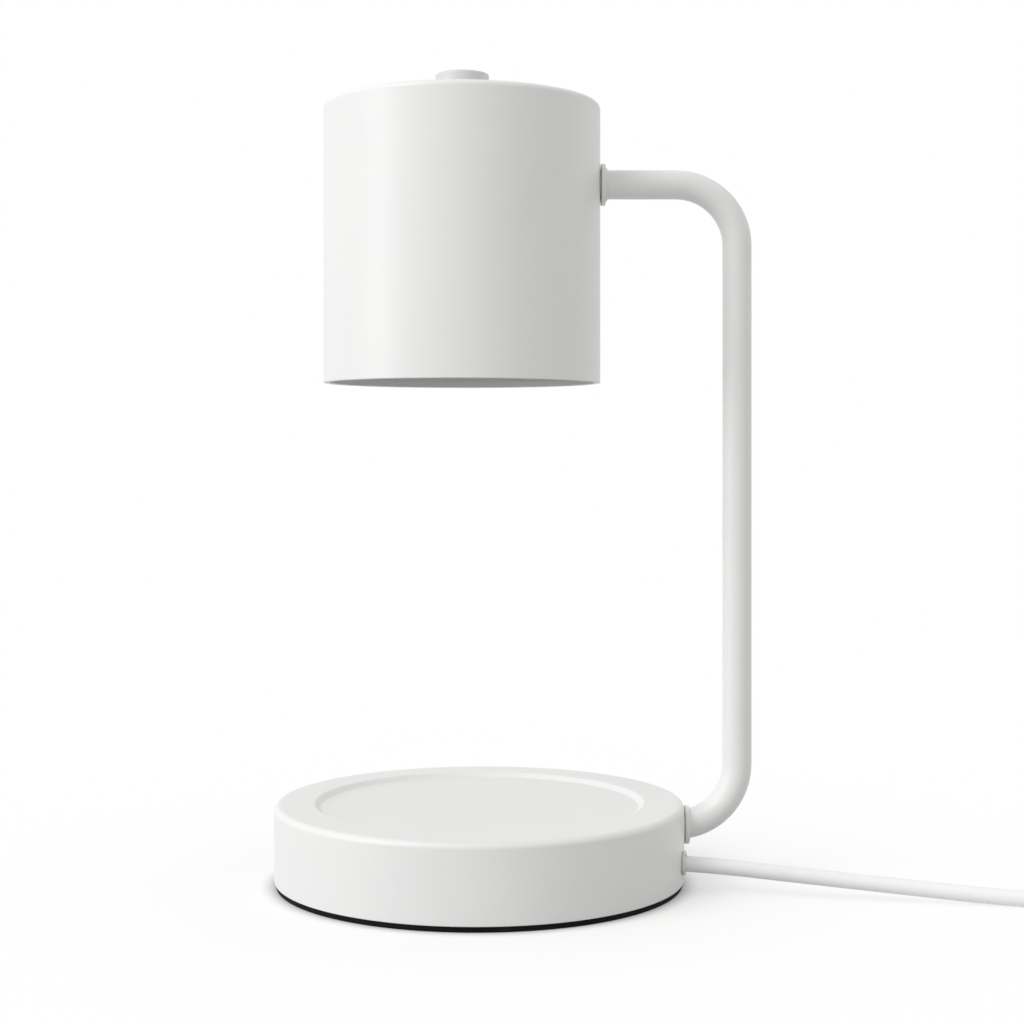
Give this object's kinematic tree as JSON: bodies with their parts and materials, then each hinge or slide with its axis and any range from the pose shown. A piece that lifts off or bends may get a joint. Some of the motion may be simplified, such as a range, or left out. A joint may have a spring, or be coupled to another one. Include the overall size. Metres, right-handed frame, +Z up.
{
  "type": "candle warmer lamp",
  "caption": "Candle warmer lamp: round shade with a dimmer knob on top, held by a bent tube arm over a heavy dished base, with its mains cord.",
  "frame": {"origin": "centre of the foot pad's underside, on the base's upright axis", "axes": "+Z up, +X from the base's middle towards the arm, +Y to the back"},
  "size_m": [0.3766, 0.1775, 0.295],
  "materials": {
    "white_powder_coat": "fine matt powder coat on drawn steel",
    "knob_paint": "satin paint on turned metal",
    "zinc_steel": "zinc-plated steel",
    "black_rubber": "matt black rubber",
    "cast_iron": "as cast",
    "cord_pvc": "semi-matt extruded PVC",
    "plug_plastic": "moulded PVC",
    "nickel_pins": "nickel-plated brass",
    "brass": "turned brass",
    "grommet_plastic": "moulded nylon",
    "nylon": "moulded nylon",
    "dimmer_case": "moulded phenolic",
    "ceramic": "glazed ceramic",
    "aluminium": "plain rolled aluminium",
    "clear_glass": "clear pressed glass",
    "reflector_glass": "facetted glass with a metal film",
    "silicone_wire": "silicone-sheathed wire"
  },
  "bodies": {
    "stand": {"base_shell": "white_powder_coat", "bottom_plate": "zinc_steel", "plate_screws": "zinc_steel", "foot_pad": "black_rubber", "ballast_weight": "cast_iron", "ballast_screws": "zinc_steel", "arm_tube": "white_powder_coat", "arm_collar": "white_powder_coat", "arm_washer": "zinc_steel", "arm_nut": "zinc_steel", "arm_cable": "silicone_wire", "swivel_stud": "zinc_steel", "swivel_spring": "zinc_steel", "swivel_nut": "zinc_steel", "terminal_block": "nylon", "terminal_screws": "brass", "cord_grommet": "grommet_plastic", "clamp_base": "nylon", "clamp_bar": "nylon", "clamp_screws": "zinc_steel", "mains_leads": "silicone_wire", "arm_leads": "silicone_wire", "power_cord": "cord_pvc", "cord_coil": "cord_pvc", "plug_lead": "cord_pvc", "plug_relief": "plug_plastic", "plug_body": "plug_plastic", "plug_pins": "nickel_pins"},
    "shade": {"shade_shell": "white_powder_coat", "swivel_collar": "white_powder_coat", "swivel_saddle": "zinc_steel", "dimmer_body": "dimmer_case", "dimmer_washer": "zinc_steel", "dimmer_nut": "zinc_steel", "lamp_bracket": "zinc_steel", "heat_shield": "aluminium", "lamp_holder": "ceramic", "holder_screws": "zinc_steel", "head_leads": "silicone_wire", "lamp_leads": "silicone_wire", "lamp_reflector": "reflector_glass", "lamp_front_glass": "clear_glass", "lamp_cap": "ceramic", "lamp_pins": "nickel_pins", "lamp_capsule": "clear_glass"},
    "knob": {"dimmer_knob": "knob_paint", "dimmer_shaft": "brass"}
  },
  "joints": [
    {"name": "shade_tilt", "type": "hinge", "parent": "stand", "child": "shade", "pos_m": [0.0441, 0, 0.2546], "axis": [1, 0, 0], "range_deg": [-45, 45]},
    {"name": "knob_turn", "type": "hinge", "parent": "shade", "child": "knob", "pos_m": [-0.0064, 0, 0.2835], "axis": [0, 0, -1], "range_deg": [0, 270]}
  ]
}
